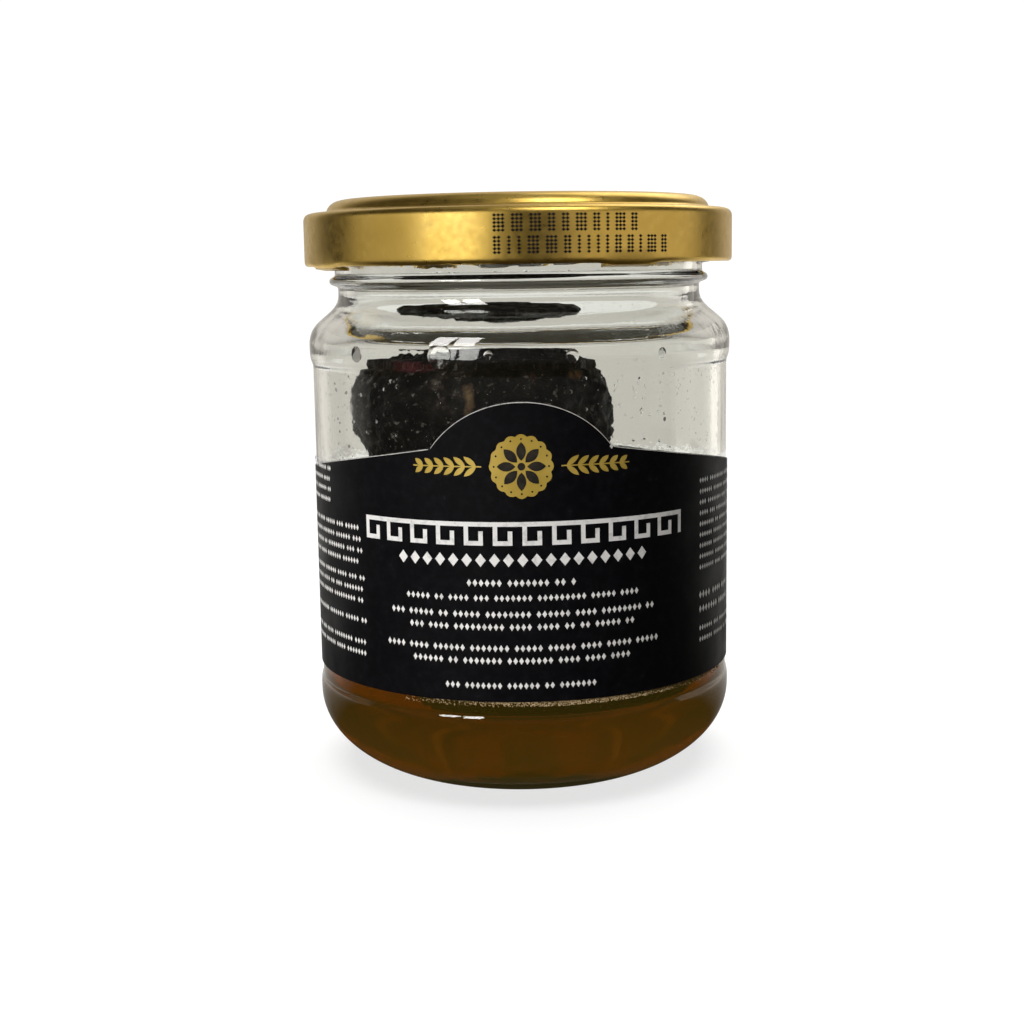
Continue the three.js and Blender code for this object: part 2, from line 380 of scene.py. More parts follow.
def add_spot(nodes, links, centre, radii):
    """1 inside an ellipsoid, falling to 0 through a ragged edge."""
    coords = nodes.new("ShaderNodeTexCoord")
    mapping = nodes.new("ShaderNodeMapping")
    mapping.inputs["Scale"].default_value = [1 / (MM * r) for r in radii]
    mapping.inputs["Location"].default_value = [-c / r for c, r in zip(centre, radii)]
    links.new(coords.outputs["Object"], mapping.inputs["Vector"])
    away = nodes.new("ShaderNodeVectorMath")
    away.operation = "LENGTH"
    links.new(mapping.outputs["Vector"], away.inputs[0])
    ragged = nodes.new("ShaderNodeMath")
    ragged.operation = "MULTIPLY_ADD"
    links.new(add_noise(nodes, links, 700, detail=4), ragged.inputs[0])
    ragged.inputs[1].default_value = 1.6
    links.new(away.outputs["Value"], ragged.inputs[2])
    return add_range(nodes, links, ragged.outputs["Value"], 1, 0, 0.9, 1.8)


def truffle_material():
    """Black-brown warty skin, with tan scars, a patch of painted haze, and pale specks that are painted
    glints.
    """
    material, nodes, links, principled = new_material("truffle_skin")
    blotches = add_noise(nodes, links, 110, detail=6, roughness=0.65)
    colour = add_ramp(
        nodes,
        links,
        blotches,
        [
            (0.0, (0.0015, 0.0012, 0.0012)),
            (0.50, (0.003, 0.0025, 0.002)),
            (0.62, (0.018, 0.015, 0.012)),
            (0.72, (0.14, 0.11, 0.08)),
        ],
    )
    # tan scars, and one patch of painted haze, mixed into the skin's colour
    for centre, radii, scar_and_haze_colour in TRUFFLE_SCARS_AND_PAINTED_HAZE:
        spot = add_spot(nodes, links, centre, radii)
        mix = nodes.new("ShaderNodeMix")
        mix.data_type = "RGBA"
        links.new(spot, mix.inputs["Factor"])
        links.new(colour, mix.inputs["A"])
        mix.inputs["B"].default_value = (*scar_and_haze_colour, 1)
        colour = mix.outputs["Result"]
    # painted highlight: pale specks mixed into the skin's colour stand in for glints off the wet warts
    painted_glint_specks = nodes.new("ShaderNodeMix")
    painted_glint_specks.data_type = "RGBA"
    glint_grains = add_noise(nodes, links, 800, detail=3)
    links.new(add_range(nodes, links, glint_grains, 0, 0.6, 0.62, 0.74), painted_glint_specks.inputs["Factor"])
    links.new(colour, painted_glint_specks.inputs["A"])
    painted_glint_specks.inputs["B"].default_value = (0.30, 0.28, 0.25, 1)
    links.new(painted_glint_specks.outputs["Result"], principled.inputs["Base Color"])
    principled.inputs["Specular IOR Level"].default_value = 0.14
    shine = add_noise(nodes, links, 500, detail=4)
    links.new(add_range(nodes, links, shine, 0.35, 0.8), principled.inputs["Roughness"])
    pores = add_noise(nodes, links, 900, detail=5, roughness=0.7)
    add_bump(nodes, links, pores, 0.6, 0.9, principled)
    return material


def gold_material():
    """Gold-lacquered tinplate with a satin, very finely mottled surface."""
    material, nodes, links, principled = new_material("gold_tinplate")
    principled.inputs["Metallic"].default_value = 1
    tone = add_noise(nodes, links, 160, detail=5)
    colour = add_ramp(
        nodes,
        links,
        tone,
        [(0.3, (0.70, 0.47, 0.10)), (0.55, (0.75, 0.51, 0.12)), (0.75, (0.78, 0.55, 0.15))],
    )
    links.new(colour, principled.inputs["Base Color"])
    mottle = add_noise(nodes, links, 900, detail=4)
    links.new(add_range(nodes, links, mottle, 0.27, 0.38), principled.inputs["Roughness"])
    principled.inputs["Coat Weight"].default_value = 0.1
    principled.inputs["Coat Roughness"].default_value = 0.25
    grain = add_noise(nodes, links, 2500, detail=2, stretch=(1, 1, 4))
    soft = add_bump(nodes, links, grain, 0.03, 0.25, principled)
    waves = add_noise(nodes, links, 45, detail=2)
    add_bump(nodes, links, waves, 0.6, 0.12, principled, after=soft)
    return material


# scale of the tone's noise per metre, colour stops, roughness and detail of the plainest materials
PLAIN_MATERIALS = {
    "pale_lacquer": (200, [(0.35, (0.72, 0.68, 0.57)), (0.65, (0.80, 0.77, 0.67))], 0.4, 3),
    "seal_compound": (300, [(0.35, (0.60, 0.57, 0.48)), (0.65, (0.70, 0.67, 0.58))], 0.5, 3),
    "paper_core": (1500, [(0.35, (0.45, 0.44, 0.42)), (0.65, (0.75, 0.74, 0.71))], 0.85, 3),
    "white_ink": (900, [(0.3, (0.62, 0.62, 0.62)), (0.5, (0.84, 0.84, 0.83))], 0.6, 5),
    "sediment": (2000, [(0.35, (0.42, 0.28, 0.13)), (0.65, (0.80, 0.62, 0.38))], 0.8, 3),
}


def plain_material(name):
    material, _ = tinted_material(name, *PLAIN_MATERIALS[name])
    return material


def black_paper_material():
    """Black-printed coated paper with a slight blue cast, faint fibres and rubbed specks."""
    material, nodes, links, principled = new_material("black_paper")
    fibres = add_noise(nodes, links, 700, detail=6, roughness=0.7)
    colour = add_ramp(
        nodes,
        links,
        fibres,
        [(0.45, (0.0028, 0.0028, 0.0038)), (0.66, (0.0055, 0.0055, 0.007)), (0.78, (0.022, 0.022, 0.026))],
    )
    links.new(colour, principled.inputs["Base Color"])
    rub = add_noise(nodes, links, 140, detail=4)
    links.new(add_range(nodes, links, rub, 0.42, 0.6), principled.inputs["Roughness"])
    principled.inputs["Specular IOR Level"].default_value = 0.09
    add_bump(nodes, links, fibres, 0.05, 0.3, principled)
    return material


def gold_ink_material():
    """Printed gold: a warm yellow with a slight metallic sheen."""
    stops = [(0.3, (0.50, 0.34, 0.05)), (0.7, (0.72, 0.52, 0.12))]
    material, principled = tinted_material("gold_ink", 120, stops, 0.42, detail=4)
    principled.inputs["Metallic"].default_value = 0.35
    return material


def black_ink_material():
    stops = [(0.35, (0.012, 0.010, 0.008)), (0.7, (0.03, 0.024, 0.018))]
    material, principled = tinted_material("black_ink", 900, stops, 0.8)
    principled.inputs["Specular IOR Level"].default_value = 0.2
    return material


def floor_material():
    """A pale floor. The object sees it dark in front and pale behind, so that gold and juice keep depth."""
    material, nodes, links, principled = new_material("pale_floor")
    tone = add_noise(nodes, links, 4)
    colour = add_ramp(nodes, links, tone, [(0.3, (0.30, 0.30, 0.30)), (0.7, (0.32, 0.32, 0.32))])
    links.new(colour, principled.inputs["Base Color"])
    principled.inputs["Roughness"].default_value = 0.9
    principled.inputs["Emission Color"].default_value = (1, 1, 1, 1)
    principled.inputs["Emission Strength"].default_value = 0.74
    seen_by_object = nodes.new("ShaderNodeEmission")
    coords = nodes.new("ShaderNodeTexCoord")
    axes = nodes.new("ShaderNodeSeparateXYZ")
    links.new(coords.outputs["Object"], axes.inputs["Vector"])
    behind = add_range(nodes, links, axes.outputs["Y"], 0, 1, 0.0, 0.09)
    near, far = (0.035, 0.027, 0.014), (0.92, 0.90, 0.85)
    links.new(add_ramp(nodes, links, behind, [(0, near), (1, far)]), seen_by_object.inputs["Color"])
    path = nodes.new("ShaderNodeLightPath")
    mix = nodes.new("ShaderNodeMixShader")
    links.new(path.outputs["Is Camera Ray"], mix.inputs["Fac"])
    links.new(seen_by_object.outputs["Emission"], mix.inputs[1])
    links.new(principled.outputs["BSDF"], mix.inputs[2])
    links.new(mix.outputs["Shader"], nodes["Material Output"].inputs["Surface"])
    return material


# ---- glass jar ----
GLASS_STEPS = 256


def thread_height(angle, z):
    """How far the glass stands out at that angle and height for the thread there."""
    span = THREAD_TO - THREAD_FROM
    along = (angle - THREAD_FROM) % (360 / STARTS)
    if along > span:
        return 0
    run_out = smooth_step(along / 7) * smooth_step((span - along) / 7)
    above = z - (THREAD_UNDER_Z + LEAD * along / 360)
    flank = smooth_step(above / 0.35) * smooth_step((1.6 - above) / 0.8)
    return THREAD_DEPTH * run_out * flank


def glass_shape(r, z, angle):
    if r == FINISH_R:
        return r + thread_height(angle, z), z
    return r, z


def make_glass():
    pen = Outline(0, PUSH_UP)
    pen.bend(14, PUSH_UP, FOOT_R - FOOT_WIDTH - 0.9, 0.35, 14)
    pen.bend(FOOT_R - FOOT_WIDTH - 0.5, 0, FOOT_R - FOOT_WIDTH, 0, 4)
    pen.line(FOOT_R, 0, 2)
    pen.curve(29.0, 1.3, HEEL_R, 5.6, HEEL_R, 12.9, 26)
    pen.line(HEEL_R, PANEL_LOW - 4.2, 3)
    pen.curve(HEEL_R, PANEL_LOW - 3.1, 35.92, PANEL_LOW - 2.6, 35.76, PANEL_LOW - 2.3, 12)
    pen.bend(PANEL_R, PANEL_LOW - 2.1, PANEL_R, PANEL_LOW - 1.5, 8)
    pen.line(PANEL_R, PANEL_HIGH - 0.8, 24)
    pen.curve(PANEL_R, PANEL_HIGH + 0.6, SHOULDER_R, PANEL_HIGH + 0.4, SHOULDER_R, PANEL_HIGH + 2.2, 12)
    pen.curve(36.3, 73.8, 35.9, 75.3, 34.4, 76.6, 12)
    pen.curve(32.6, 78.2, NECK_R, 79.0, NECK_R, 81.2, 12)
    pen.line(NECK_R, BEAD_Z - 1.2, 2)
    pen.curve(NECK_R, BEAD_Z - 0.6, BEAD_R, BEAD_Z - 0.8, BEAD_R, BEAD_Z, 8)
    pen.curve(BEAD_R, BEAD_Z + 0.8, FINISH_R, BEAD_Z + 0.7, FINISH_R, BEAD_Z + 1.2, 8)
    pen.line(FINISH_R, RIM_Z - 0.9, 56)
    pen.bend(FINISH_R, RIM_Z, FINISH_R - 1.0, RIM_Z, 6)
    pen.line(MOUTH_R + 0.9, RIM_Z)
    pen.bend(MOUTH_R, RIM_Z, MOUTH_R, RIM_Z - 0.9, 6)
    inside_from = len(pen.points) - 1
    pen.line(MOUTH_R, 81.3, 6)
    pen.curve(MOUTH_R, 79.3, 28.5, 77.9, 29.7, 76.7, 14)
    pen.curve(31.2, 75.2, SHOULDER_TOP_INNER_R, 74.1, SHOULDER_TOP_INNER_R + 0.06, 72.6, 14)
    pen.line(SHOULDER_INNER_R, PANEL_HIGH + 2.2)
    pen.curve(SHOULDER_INNER_R, PANEL_HIGH + 0.4, INNER_R, PANEL_HIGH + 0.6, INNER_R, PANEL_HIGH - 0.8, 12)
    pen.line(INNER_R, 14.5, 20)
    pen.curve(INNER_R, 8.0, 28.5, FLOOR_Z + 0.2, 22, FLOOR_Z, 20)
    pen.line(0, FLOOR_Z + 0.6, 6)
    mesh = turned_mesh("glass_jar_fine", pen, GLASS_STEPS, shape=glass_shape)
    jar = add_object("glass_jar_fine", mesh, [GLASS, MISTED], "jar", sharp=70)
    for face in mesh.polygons[inside_from * GLASS_STEPS :]:
        if face.center.z > JUICE_LEVEL * MM:
            face.material_index = 1
    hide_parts("glass_jar")


# ---- lid ----
LID_STEPS = 288
CURL_REACH = 2.5  # mm above the lid's lower edge that the lugs still shape


def near_lug(angle):
    """1 at the middle of a lug, falling to 0 past its ends."""
    away = abs((angle - LUG_AT + 45) % 90 - 45)
    return smooth_step((LUG_SPAN / 2 + 3 - away) / 6)


def lid_shape(r, z, angle):
    if z > LID_LOW + CURL_REACH:
        return r, z
    low = smooth_step((LID_LOW + CURL_REACH - z) / CURL_REACH)
    dip = near_lug(angle) * low
    return r - 0.25 * dip, z - 0.4 * dip


def make_lid():
    button_z = LID_PANEL_Z - BUTTON_STEP
    pen = Outline(0, button_z)
    pen.line(BUTTON_R, button_z, 3)
    pen.curve(11.6, button_z, 12.2, LID_PANEL_Z, BUTTON_EDGE_R, LID_PANEL_Z, 8)
    pen.line(LID_PANEL_R, LID_PANEL_Z, 4)
    pen.curve(27.6, LID_PANEL_Z, 27.8, CROWN_Z, 29.6, CROWN_Z, 12)
    pen.curve(31.0, CROWN_Z, 32.0, 96.35, CROWN_R + 0.05, 95.4, 12)
    pen.bend(CROWN_R + 0.2, LEDGE_Z, 33.4, LEDGE_Z, 6)
    pen.line(35.0, LEDGE_Z - 0.05, 2)
    pen.bend(LID_R, LEDGE_Z - 0.1, LID_R, LID_CORNER_Z, 8)
    pen.line(LID_R, LID_LOW + 0.9, 16)
    pen.bend(LID_R, LID_LOW, LID_R - 0.75, LID_LOW, 6)
    pen.bend(LID_R - 1.5, LID_LOW, LID_R - 1.5, LID_LOW + 0.8, 6)
    pen.bend(LID_R - 1.4, LID_LOW + 1.3, LID_R - TIN, LID_LOW + 1.5, 4)
    inside_from = len(pen.points)
    pen.line(LID_R - TIN, LID_CORNER_Z, 8)
    pen.bend(LID_R - TIN, LEDGE_Z - TIN - 0.1, 35.0, LEDGE_Z - TIN - 0.05, 6)
    pen.line(33.0, LEDGE_Z - TIN)
    pen.bend(CROWN_R - 0.15, LEDGE_Z - 0.1, CROWN_R - 0.25, 95.3, 4)
    pen.curve(31.8, 96.15, 30.9, CROWN_Z - TIN, 29.6, CROWN_Z - TIN, 8)
    pen.curve(28.2, CROWN_Z - TIN, 27.9, LID_PANEL_Z - TIN, LID_PANEL_R, LID_PANEL_Z - TIN, 8)
    pen.line(BUTTON_EDGE_R, LID_PANEL_Z - TIN)
    pen.line(BUTTON_R, button_z - TIN)
    pen.line(0, button_z - TIN)
    inside_rings = len(pen.points) - inside_from
    pen.points.reverse()
    mesh = turned_mesh("lid_fine", pen, LID_STEPS, shape=lid_shape)
    lid = add_object("lid_fine", mesh, [GOLD, LACQUER], "lid", sharp=50)
    for face in mesh.polygons[: inside_rings * LID_STEPS]:
        face.material_index = 1
    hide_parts("twist_off_lid")
    for i in range(STARTS):
        make_lug(i)


def make_lug(number):
    """One lug: the curl pressed inwards under the thread, with rounded edges."""
    centre = LUG_AT + number * 360 / STARTS
    steps = 14
    section = [(32.7, 85.2), (32.7, 85.7), (33.2, 85.75), (35.7, 86.05), (35.9, 85.5), (33.2, 85.17)]
    verts, faces = [], []
    for i in range(steps + 1):
        along = i / steps
        angle = centre + LUG_SPAN * (along - 0.5)
        tuck = 1 - 0.35 * abs(2 * along - 1) ** 6
        for r, z in section:
            verts.append(at(angle, 35.9 - (35.9 - r) * tuck, z))
    count = len(section)
    for i in range(steps):
        for k in range(count):
            a = i * count + k
            b = i * count + (k + 1) % count
            faces.append((a, b, b + count, a + count))
    faces.append(tuple(reversed(range(count))))
    faces.append(tuple(steps * count + k for k in range(count)))
    mesh = bpy.data.meshes.new(f"lug_{number + 1}")
    mesh.from_pydata(verts, [], faces)
    add_object(f"lug_{number + 1}", mesh, GOLD, "lid", sharp=50)


def make_seal():
    pen = Outline(SEAL_INNER_R, SEAL_LOW)
    pen.line(SEAL_R, SEAL_LOW, 4)
    pen.bend(30.95, 96.15, 30.3, 96.33, 5)
    pen.line(29.4, SEAL_TOP, 2)
    pen.bend(28.9, 96.25, SEAL_INNER_R, SEAL_LOW, 4)
    pen.points.pop()
    mesh = turned_mesh("seal_fine", pen, 160, closed=True)
    seal = add_object("seal_fine", mesh, SEAL, "seal")
    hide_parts("lid_seal")


# ---- label ----
def label_top(distance):
    """Height of the label's top edge at a distance round the jar from its middle."""
    away = abs(distance)
    if away < ARCH_HALF:
        return ARCH_TOP - ARCH_R + math.sqrt(ARCH_R**2 - away**2)
    return SHOULDER_START - SHOULDER_SLOPE * (min(away, SHOULDER_FLAT) - ARCH_HALF)


def make_label():
    """A bent sheet of paper: printed black outside, and pale on its cut edges and its back."""
    columns, rows = 416, 12
    mesh = bpy.data.meshes.new("label_fine")
    verts, faces, kinds = [], [], []
    for layer in (0, PAPER):
        for i in range(columns + 1):
            distance = LABEL_HALF_LENGTH * (2 * i / columns - 1)
            angle = math.degrees(distance / PANEL_R)
            top = label_top(distance)
            for j in range(rows + 1):
                verts.append(at(angle, LABEL_R + layer, LABEL_LOW + (top - LABEL_LOW) * j / rows))
    tall = rows + 1
    outside = (columns + 1) * tall

    def quad(a, b, c, d, kind):
        faces.append((a, b, c, d))
        kinds.append(kind)

    for i in range(columns):
        for j in range(rows):
            a = i * tall + j
            quad(a, a + 1, a + tall + 1, a + tall, 1)
            b = a + outside
            quad(b, b + tall, b + tall + 1, b + 1, 0)
    for i in range(columns):
        a, b = i * tall, i * tall + rows
        quad(a, a + tall, a + tall + outside, a + outside, 1)
        quad(b, b + outside, b + tall + outside, b + tall, 1)
    for j in range(rows):
        a, b = j, columns * tall + j
        quad(a, a + outside, a + 1 + outside, a + 1, 1)
        quad(b, b + 1, b + 1 + outside, b + outside, 1)
    mesh.from_pydata(verts, [], faces)
    label = add_object("label_fine", mesh, [BLACK_PAPER, PAPER_CORE], "jar", sharp=40)
    for face, kind in zip(mesh.polygons, kinds):
        face.material_index = kind
    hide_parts("label")


# ---- printed ornament ----
PRINT_STEP = 0.8  # mm between the cuts that let flat shapes bend round the jar


def print_shapes(name, shapes, material, radius, body="jar"):
    """Flat shapes laid round the jar. Each is a list of (distance, height) corners in mm, anticlockwise."""
    sheet = bmesh.new()
    for corners in shapes:
        sheet.faces.new([sheet.verts.new((x, y, 0)) for x, y in corners])
    bmesh.ops.triangulate(sheet, faces=sheet.faces[:])
    low = min(v.co.x for v in sheet.verts)
    high = max(v.co.x for v in sheet.verts)
    cut = low + PRINT_STEP
    while cut < high:
        everything = sheet.verts[:] + sheet.edges[:] + sheet.faces[:]
        bmesh.ops.bisect_plane(sheet, geom=everything, plane_co=(cut, 0, 0), plane_no=(1, 0, 0))
        cut += PRINT_STEP
    for vert in sheet.verts:
        vert.co = at(math.degrees(vert.co.x / radius), radius, vert.co.y)
    bmesh.ops.recalc_face_normals(sheet, faces=sheet.faces[:])
    mesh = bpy.data.meshes.new(name)
    sheet.to_mesh(mesh)
    sheet.free()
    return add_object(name, mesh, material, body)


def bar(x0, y0, x1, y1):
    return [(x0, y0), (x1, y0), (x1, y1), (x0, y1)]


def lozenge(x, y, half_width, half_height):
    return [(x - half_width, y), (x, y - half_height), (x + half_width, y), (x, y + half_height)]


def disc(x, y, r, steps):
    turns = [2 * math.pi * i / steps for i in range(steps)]
    return [(x + r * math.cos(t), y + r * math.sin(t)) for t in turns]


def scalloped_disc(x, y, r, lobes, depth, steps=192):
    """A disc with a wavy edge."""
    corners = []
    for i in range(steps):
        t = 2 * math.pi * i / steps
        reach = r - depth * (1 - abs(math.cos(lobes * t / 2)))
        corners.append((x + reach * math.cos(t), y + reach * math.sin(t)))
    return corners


def leaf(x, y, length, width, angle, steps=8):
    """A pointed leaf that starts at (x, y) and grows at that angle, in degrees."""
    turn = math.radians(angle)
    along = [i / steps for i in range(steps + 1)]
    edge = [(length * t, width / 2 * math.sin(math.pi * t) ** 0.8) for t in along[1:-1]]
    corners = [(0, 0)] + [(u, -v) for u, v in edge] + [(length, 0)] + [(u, v) for u, v in reversed(edge)]
    cos, sin = math.cos(turn), math.sin(turn)
    return [(x + u * cos - v * sin, y + u * sin + v * cos) for u, v in corners]


# blocks of fine lines beside the front: inner edge, reach away from it, top line, number of lines, line pitch
SIDE_BLOCKS = (
    (-38.5, -20, 53.0, 4, 1.75),
    (-29, -28, 44.2, 4, 1.85),
    (-28.6, -28, 36.0, 3, 1.85),
    (-28.4, -28, 29.0, 1, 1.85),
    (-28.2, -28, 25.4, 2, 1.85),
    (34, 26, 50.6, 9, 1.8),
    (34, 14, 31.6, 2, 2.4),
    (34, 20, 26.0, 2, 1.9),
)


def make_cut_edge(ink_r):
    """The pale line of bare paper along the label's cut top edge, with a nick at one corner."""
    step, line = 0.4, 0.11
    count = int(2 * SHOULDER_FLAT / step)
    strip = []
    for i in range(count):
        x0 = -SHOULDER_FLAT + i * step
        x1 = x0 + step
        if x0 < -ARCH_HALF < x1 or x0 < ARCH_HALF < x1:
            continue
        z0, z1 = label_top(x0), label_top(x1)
        strip.append([(x0, z0 - line), (x1, z1 - line), (x1, z1), (x0, z0)])
    strip.append(lozenge(ARCH_HALF - 0.2, SHOULDER_START + 0.05, 0.35, 0.45))
    print_shapes("cut_edge", strip, PAPER_CORE, ink_r)


def make_prints():
    ink_r = LABEL_R + PAPER + 0.03
    emblem_z = 55.2
    gold = [scalloped_disc(0, emblem_z, 5.0, 16, 0.35)]
    black = [leaf(0.9 * math.cos(math.radians(a)), emblem_z + 0.9 * math.sin(math.radians(a)), 2.9, 1.5, a)
             for a in range(0, 360, 45)]
    black += [disc(0, emblem_z, 0.6, 20)]
    black += [disc(4.25 * math.cos(t), 4.25 * math.sin(t) + emblem_z, 0.16, 10)
              for t in (math.radians(22.5 * i) for i in range(16))]
    print_shapes("emblem_flower", black, BLACK_INK, ink_r + 0.02)
    for side in (-1, 1):
        left, right = sorted((side * 6.2, side * 17.5))
        gold.append(bar(left, emblem_z - 0.1, right, emblem_z + 0.1))
        for i in range(6):
            x = side * (7.0 + 1.75 * i)
            for lean in (38, -38):
                angle = lean if side > 0 else 180 - lean
                gold.append(leaf(x, emblem_z, 2.5 - 0.15 * i, 0.85, angle))
    print_shapes("gold_emblem", gold, GOLD_INK, ink_r)

    make_cut_edge(ink_r)

    # a key pattern in a band, and a row of lozenges under it
    white = []
    low, high, stroke = 42.9, 46.6, 0.72
    unit = 4.6
    count = 12
    start = -unit * count / 2
    for i in range(count):
        x = start + i * unit
        white.append(bar(x, low, x + unit - 1.55, low + stroke))
        white.append(bar(x, low + stroke, x + stroke, high - stroke))
        white.append(bar(x, high - stroke, x + unit, high))
        white.append(bar(x + unit - 1.55 - stroke, low + stroke, x + unit - 1.55, high - 2 * stroke))
    white.append(bar(start + count * unit, low, start + count * unit + stroke, high))
    for i in range(19):
        x = -19.8 + 2.2 * i
        white.append(lozenge(x, 40.6, 0.85, 1.05))
    print_shapes("white_frieze", white, WHITE_INK, ink_r)

    fine = []
    dice = random.Random(5)

    def beads(centre, half_length, z, tall):
        """A row of small lozenges in groups of uneven length, centred at that distance."""
        x = centre - half_length
        end = centre + half_length
        pitch = 0.8 * tall
        while x < end:
            for _ in range(dice.randint(2, 9)):
                if x >= end:
                    break
                fine.append(lozenge(x, z, 0.32 * tall, 0.5 * tall))
                x += pitch
            x += 0.7 * pitch

    for half_length, z, tall in (
        (8.5, 37.0, 1.2),
        (19, 34.6, 1.1),
        (22, 32.0, 1.15),
        (18.5, 30.0, 1.15),
        (23, 26.6, 1.15),
        (18, 24.6, 1.15),
        (12.4, 20.6, 1.1),
    ):
        beads(0, half_length, z, tall)
    for edge, reach, top, lines, pitch in SIDE_BLOCKS:
        for i in range(lines):
            beads(edge + reach / 2, abs(reach) / 2, top - pitch * i, 0.55 * pitch)
    print_shapes("fine_lines", fine, WHITE_INK, ink_r)


def make_lid_marks():
    """Two rows of small ink dots on the lid's skirt."""
    ink_r = LID_R + 0.03
    dice = random.Random(11)
    dots = []
    for row_low, from_angle, to_angle in ((90.9, -5.5, 29), (87.6, -5.5, 40)):
        x = math.radians(from_angle) * ink_r
        while x < math.radians(to_angle) * ink_r:
            columns = dice.choice((1, 2, 2, 3))
            for i in range(columns):
                for k in range(5):
                    dots.append(lozenge(x + 0.62 * i, row_low + 0.56 * k, 0.33, 0.27))
            x += 0.62 * columns + 0.9
    print_shapes("lid_dots", dots, BLACK_INK, ink_r, body="lid")


# ---- truffles ----
# name: centre, half-axes, heights of the flattened ends, and lobes (direction, height, sharpness), in mm
TRUFFLES = {
    "truffle_upper": (
        (-6.2, -1.0, 58.0),
        (22.4, 21.4, 21.5),
        (40.4, 74.8),
        [
            ((-0.95, -0.1, 0.25), 2.4, 5),
            ((0.45, -0.5, 0.7), 2.0, 6),
            ((-0.9, -0.3, -0.45), -3.0, 7),
            ((0.1, 0.95, -0.1), 2.2, 5),
            ((0.2, -0.9, -0.4), -1.8, 6),
            ((-0.3, 0.5, 0.8), -1.4, 7),
        ],
    ),
    "truffle_lower": (
        (3.5, 1.5, 22.4),
        (24.5, 23.5, 17.5),
        (5.4, 38.9),
        [
            ((0.9, -0.3, 0.2), 2.0, 5),
            ((-0.6, -0.7, 0.1), 2.2, 6),
            ((-0.8, 0.5, 0.1), -2.6, 6),
            ((0.1, 0.9, 0.3), 2.0, 6),
            ((-0.5, 0.0, 0.9), -1.6, 5),
            ((0.5, 0.8, -0.2), -1.8, 8),
        ],
    ),
}
WART_SIZE = 2.3  # mm across a wart
WART_SEED = 1795197956  # without a seed, noise_vector follows the clock and each run gives other warts


def wart(point):
    """Height of the warty skin at a point, in mm: small blunt pyramids of uneven size, on a lumpy body."""
    warped = point / WART_SIZE + 0.8 * noise.noise_vector(point / 3.0)
    distances, _ = noise.voronoi(warped)
    nearest, second = distances[0], distances[1]
    furrow = min(1, (second - nearest) * 1.6)
    lumps = noise.noise(point / 9.0)
    knobs = noise.turbulence(point / 3.2, 3, False)
    return 0.5 * furrow * (1 - 0.5 * nearest) + 0.9 * lumps + 0.7 * knobs - 0.75


def flattened(z, low, high):
    """z, eased to stay between low and high."""
    soft = 1.3
    z = high - soft * math.log1p(math.exp((high - z) / soft))
    return low + soft * math.log1p(math.exp((z - low) / soft))


def make_truffle(name, centre, half_axes, ends, lobes):
    ball = bmesh.new()
    bmesh.ops.create_icosphere(ball, subdivisions=6, radius=1)
    axes = Vector(half_axes)
    middle = Vector(centre)
    lobes = [(Vector(way).normalized(), height, sharpness) for way, height, sharpness in lobes]
    for vert in ball.verts:
        way = vert.co.normalized()
        reach = sum(height * math.exp(sharpness * (way.dot(to) - 1)) for to, height, sharpness in lobes)
        base = middle + way * axes + way * reach
        base.z = flattened(base.z, *ends)
        vert.co = (base + way * wart(base)) * MM
    mesh = bpy.data.meshes.new(name + "_fine")
    ball.to_mesh(mesh)
    ball.free()
    piece = add_object(name + "_fine", mesh, TRUFFLE, "jar", sharp=80)
    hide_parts(name)


# ---- juice ----
def make_juice():
    """Juice up to its level, with a meniscus. Its skin lies just inside the glass, with no air between."""
    wall = INNER_R + 0.08
    pen = Outline(0, FLOOR_Z + 0.52)
    pen.line(22, FLOOR_Z - 0.08, 6)
    pen.curve(28.5, FLOOR_Z + 0.12, wall, 8.0, wall, 14.5, 20)
    pen.line(wall, JUICE_LEVEL + 1.0, 10)
    pen.curve(wall - 0.5, JUICE_LEVEL + 0.2, wall - 1.4, JUICE_LEVEL, wall - 3, JUICE_LEVEL, 8)
    pen.line(0, JUICE_LEVEL, 4)
    mesh = turned_mesh("juice_fine", pen, 192)
    juice = add_object("juice_fine", mesh, JUICE, "jar", sharp=60)
    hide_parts("truffle_juice")


# ---- drops and specks ----
def add_drop(sheet, place, outward, radius, height):
    """A low dome on a wall, its round side towards outward."""
    rings, around = 3, 10
    side = outward.cross(Vector((0, 0, 1))).normalized()
    up = side.cross(outward).normalized()
    previous = None
    for i in range(rings + 1):
        t = math.pi / 2 * i / rings
        lift = outward * (height * math.sin(t))
        if i == rings:
            top = sheet.verts.new(place + lift)
            for k in range(around):
                sheet.faces.new((previous[k], previous[(k + 1) % around], top))
            break
        reach = radius * math.cos(t)
        loop = []
        for k in range(around):
            a = 2 * math.pi * k / around
            spoke = side * math.cos(a) + up * math.sin(a)
            loop.append(sheet.verts.new(place + lift + spoke * reach))
        if previous:
            for k in range(around):
                sheet.faces.new((previous[k], previous[(k + 1) % around], loop[(k + 1) % around], loop[k]))
        else:
            sheet.faces.new(list(reversed(loop)))
        previous = loop


# angle, height and radius in mm of the large drops under the shoulder
SHOULDER_DROPS = ((-21, 72.1, 1.9), (13.5, 71.9, 1.05), (-48, 72.0, 1.2), (40, 71.8, 0.8), (-8, 72.2, 0.7))


def make_drops():
    """Condensed water on the inside of the shoulder and the wall."""
    dice = random.Random(3)
    sheet = bmesh.new()

    def inside(angle, z, radius, height):
        away = at(angle, 1, 0).normalized()
        wall = SHOULDER_INNER_R if z > PANEL_HIGH + 2 else INNER_R
        add_drop(sheet, at(angle, wall + 0.03, z), -away, radius * MM, height * MM)

    for angle, z, radius in SHOULDER_DROPS:
        inside(angle, z, radius, radius * 0.45)
    for _ in range(900):
        angle = dice.uniform(0, 360)
        z = 68.5 - 15 * dice.random() ** 1.4
        radius = 0.07 + 0.3 * dice.random() ** 3
        inside(angle, z, radius, radius * 0.4)
    mesh = bpy.data.meshes.new("drops")
    sheet.to_mesh(mesh)
    sheet.free()
    add_object("drops", mesh, WATER, "jar", sharp=80)


